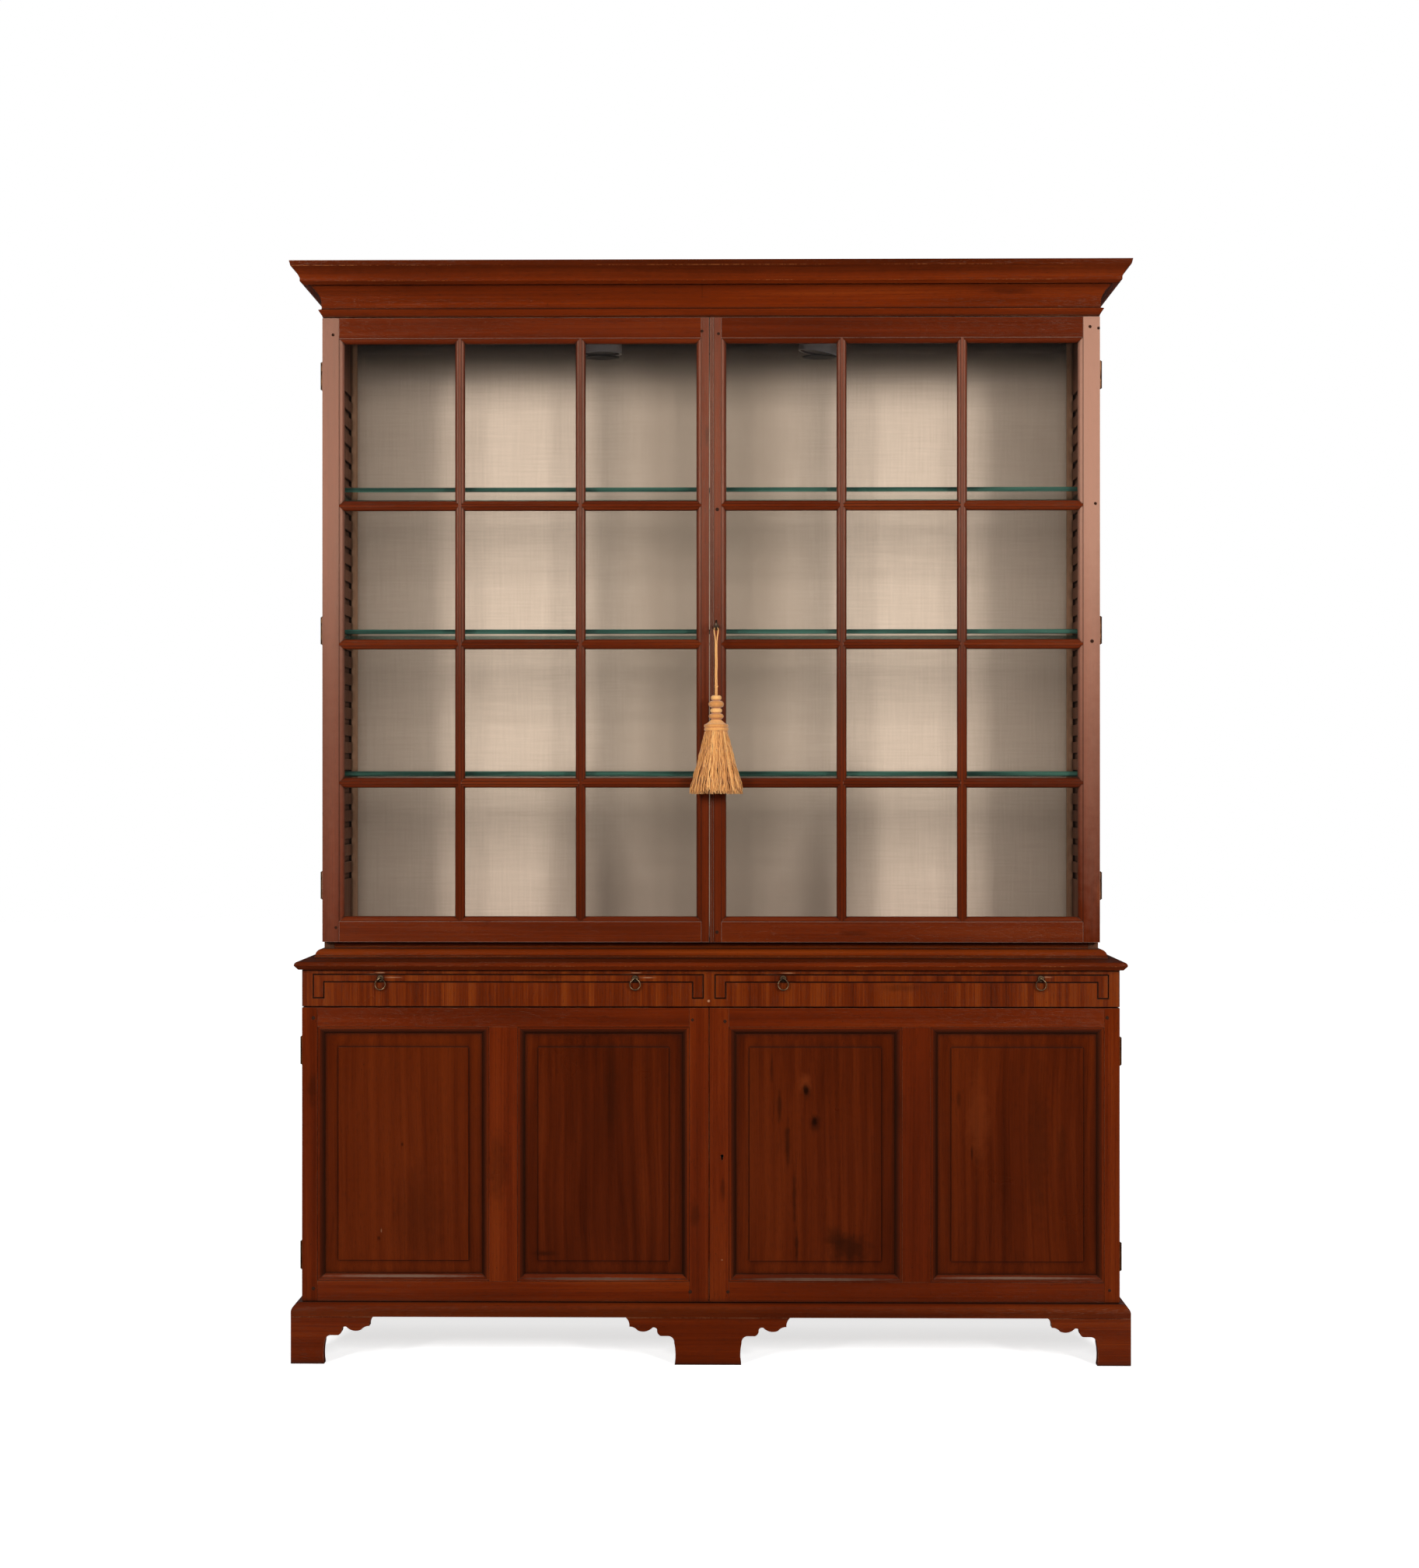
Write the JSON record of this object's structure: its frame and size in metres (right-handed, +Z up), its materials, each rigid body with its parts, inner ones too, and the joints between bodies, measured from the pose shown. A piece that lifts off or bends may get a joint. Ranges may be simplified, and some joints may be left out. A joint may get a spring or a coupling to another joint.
{
  "type": "glass-door cabinet",
  "caption": "Tall mahogany cabinet: glazed doors over glass shelves, pull-out slides in the frieze, panelled cupboard below on bracket feet.",
  "frame": {"origin": "centre of the footprint's bounding box, on the floor", "axes": "+Z up, doors face -Y, +X to the right seen from the front"},
  "size_m": [1.841, 0.4676, 2.4],
  "materials": {
    "mahogany": "old polished mahogany",
    "mahogany_panel": "old polished mahogany, darker and redder",
    "inside_mahogany": "waxed mahogany, unpolished inside",
    "carcass_wood": "bare sawn boards",
    "batten_wood": "pale strip",
    "linen": "plain stretched linen",
    "pane_glass": "thin clear glass",
    "shelf_glass": "float glass with dark green edges",
    "brass": "aged brass",
    "steel": "old bright iron",
    "lamp": "grey metal lamp",
    "tassel": "golden straw yarn"
  },
  "bodies": {
    "case": {"upper_left_side": "inside_mahogany", "upper_right_side": "inside_mahogany", "upper_top_board": "inside_mahogany", "upper_bottom_board": "inside_mahogany", "upper_back_boards": "carcass_wood", "linen_lining": "linen", "lining_battens": "batten_wood", "cornice": "mahogany", "waist_moulding": "mahogany", "glass_shelves": "shelf_glass", "puck_lights": "lamp", "base_sides": "mahogany", "base_top": "mahogany", "base_bottom_board": "carcass_wood", "base_back_boards": "carcass_wood", "frieze_front": "mahogany", "dust_board": "carcass_wood", "slide_runners": "carcass_wood", "cupboard_shelf": "carcass_wood", "plinth_moulding": "mahogany", "front_feet": "mahogany", "rear_feet": "mahogany", "hinge_case_leaves": "brass", "hinge_pins": "brass"},
    "upper_left_door": {"upper_left_door_stiles": "mahogany", "upper_left_door_rails": "mahogany", "upper_left_glazing_bars": "mahogany", "upper_left_panes": "pane_glass", "upper_left_hinge_leaves": "brass", "upper_left_bolt_plates": "brass"},
    "upper_left_top_bolt": {"upper_left_top_bolt": "brass"},
    "upper_left_bottom_bolt": {"upper_left_bottom_bolt": "brass"},
    "upper_right_door": {"upper_right_door_stiles": "mahogany", "upper_right_door_rails": "mahogany", "upper_right_glazing_bars": "mahogany", "upper_right_panes": "pane_glass", "upper_right_hinge_leaves": "brass", "upper_right_lock": "steel"},
    "upper_right_lock_bolt": {"upper_right_lock_bolt": "steel"},
    "upper_key": {"upper_key": "steel"},
    "tassel_cord": {"tassel_cord": "tassel"},
    "tassel": {"tassel_beads": "tassel", "tassel_skirt": "tassel"},
    "lower_left_door": {"lower_left_door_frame": "mahogany", "lower_left_door_panels": "mahogany_panel", "lower_left_door_ironwork": "brass"},
    "lower_left_bolt": {"lower_left_bolt": "brass"},
    "lower_right_door": {"lower_right_door_frame": "mahogany", "lower_right_door_panels": "mahogany_panel", "lower_right_hinge_leaves": "brass", "lower_right_lock": "steel"},
    "lower_right_lock_bolt": {"lower_right_lock_bolt": "steel"},
    "left_slide": {"left_slide": "mahogany", "left_pull_posts": "brass"},
    "right_slide": {"right_slide": "mahogany", "right_pull_posts": "brass"},
    "left_outer_pull_ring": {"left_outer_pull_ring": "brass"},
    "left_inner_pull_ring": {"left_inner_pull_ring": "brass"},
    "right_inner_pull_ring": {"right_inner_pull_ring": "brass"},
    "right_outer_pull_ring": {"right_outer_pull_ring": "brass"}
  },
  "joints": [
    {"name": "upper_left_door_swing", "type": "hinge", "parent": "case", "child": "upper_left_door", "pos_m": [-0.8633, -0.1145, 0.907], "axis": [0, 0, -1], "range_deg": [0, 170], "deforming": ["tassel_skirt"]},
    {"name": "upper_right_door_swing", "type": "hinge", "parent": "case", "child": "upper_right_door", "pos_m": [0.8633, -0.1145, 0.907], "axis": [0, 0, 1], "range_deg": [0, 170]},
    {"name": "lower_left_door_swing", "type": "hinge", "parent": "case", "child": "lower_left_door", "pos_m": [-0.8928, -0.1895, 0.131], "axis": [0, 0, -1], "range_deg": [0, 170]},
    {"name": "lower_right_door_swing", "type": "hinge", "parent": "case", "child": "lower_right_door", "pos_m": [0.8928, -0.1895, 0.131], "axis": [0, 0, 1], "range_deg": [0, 170]},
    {"name": "upper_left_top_bolt_slide", "type": "slide", "parent": "upper_left_door", "child": "upper_left_top_bolt", "axis": [0, 0, 1], "range_m": [0, 0.012]},
    {"name": "upper_left_bottom_bolt_slide", "type": "slide", "parent": "upper_left_door", "child": "upper_left_bottom_bolt", "axis": [0, 0, -1], "range_m": [0, 0.012]},
    {"name": "lower_left_bolt_slide", "type": "slide", "parent": "lower_left_door", "child": "lower_left_bolt", "axis": [0, 0, 1], "range_m": [0, 0.012]},
    {"name": "upper_key_turn", "type": "hinge", "parent": "upper_right_door", "child": "upper_key", "pos_m": [0.013, -0.138, 1.604], "axis": [0, 1, 0], "range_deg": [0, 90]},
    {"name": "upper_right_lock_bolt_slide", "type": "slide", "parent": "upper_right_door", "child": "upper_right_lock_bolt", "axis": [-1, 0, 0], "range_m": [0, 0.007]},
    {"name": "lower_right_lock_bolt_slide", "type": "slide", "parent": "lower_right_door", "child": "lower_right_lock_bolt", "axis": [-1, 0, 0], "range_m": [0, 0.007]},
    {"name": "tassel_cord_hang", "type": "hinge", "parent": "upper_key", "child": "tassel_cord", "pos_m": [0.013, -0.17225, 1.5945], "axis": [0, 1, 0], "range_deg": [-90, 0]},
    {"name": "tassel_swing", "type": "hinge", "parent": "tassel_cord", "child": "tassel", "pos_m": [0.013, -0.17225, 1.4506], "axis": [0, 1, 0], "range_deg": [-15, 15], "deforming": ["tassel_cord"]},
    {"name": "left_slide_pull", "type": "slide", "parent": "case", "child": "left_slide", "axis": [0, -1, 0], "range_m": [0, 0.3]},
    {"name": "right_slide_pull", "type": "slide", "parent": "case", "child": "right_slide", "axis": [0, -1, 0], "range_m": [0, 0.3]},
    {"name": "left_outer_pull_ring_lift", "type": "hinge", "parent": "left_slide", "child": "left_outer_pull_ring", "pos_m": [-0.7175, -0.21905, 0.8339], "axis": [-1, 0, 0], "range_deg": [0, 90]},
    {"name": "left_inner_pull_ring_lift", "type": "hinge", "parent": "left_slide", "child": "left_inner_pull_ring", "pos_m": [-0.1629, -0.21905, 0.8339], "axis": [-1, 0, 0], "range_deg": [0, 90]},
    {"name": "right_inner_pull_ring_lift", "type": "hinge", "parent": "right_slide", "child": "right_inner_pull_ring", "pos_m": [0.1589, -0.21905, 0.8339], "axis": [-1, 0, 0], "range_deg": [0, 90]},
    {"name": "right_outer_pull_ring_lift", "type": "hinge", "parent": "right_slide", "child": "right_outer_pull_ring", "pos_m": [0.7175, -0.21905, 0.8339], "axis": [-1, 0, 0], "range_deg": [0, 90]}
  ],
  "couplings": [
    {"joint": "upper_right_lock_bolt_slide", "follows": "upper_key_turn", "m_per_rad": 0.0044563},
    {"joint": "tassel_cord_hang", "follows": "upper_key_turn", "ratio": -1}
  ]
}
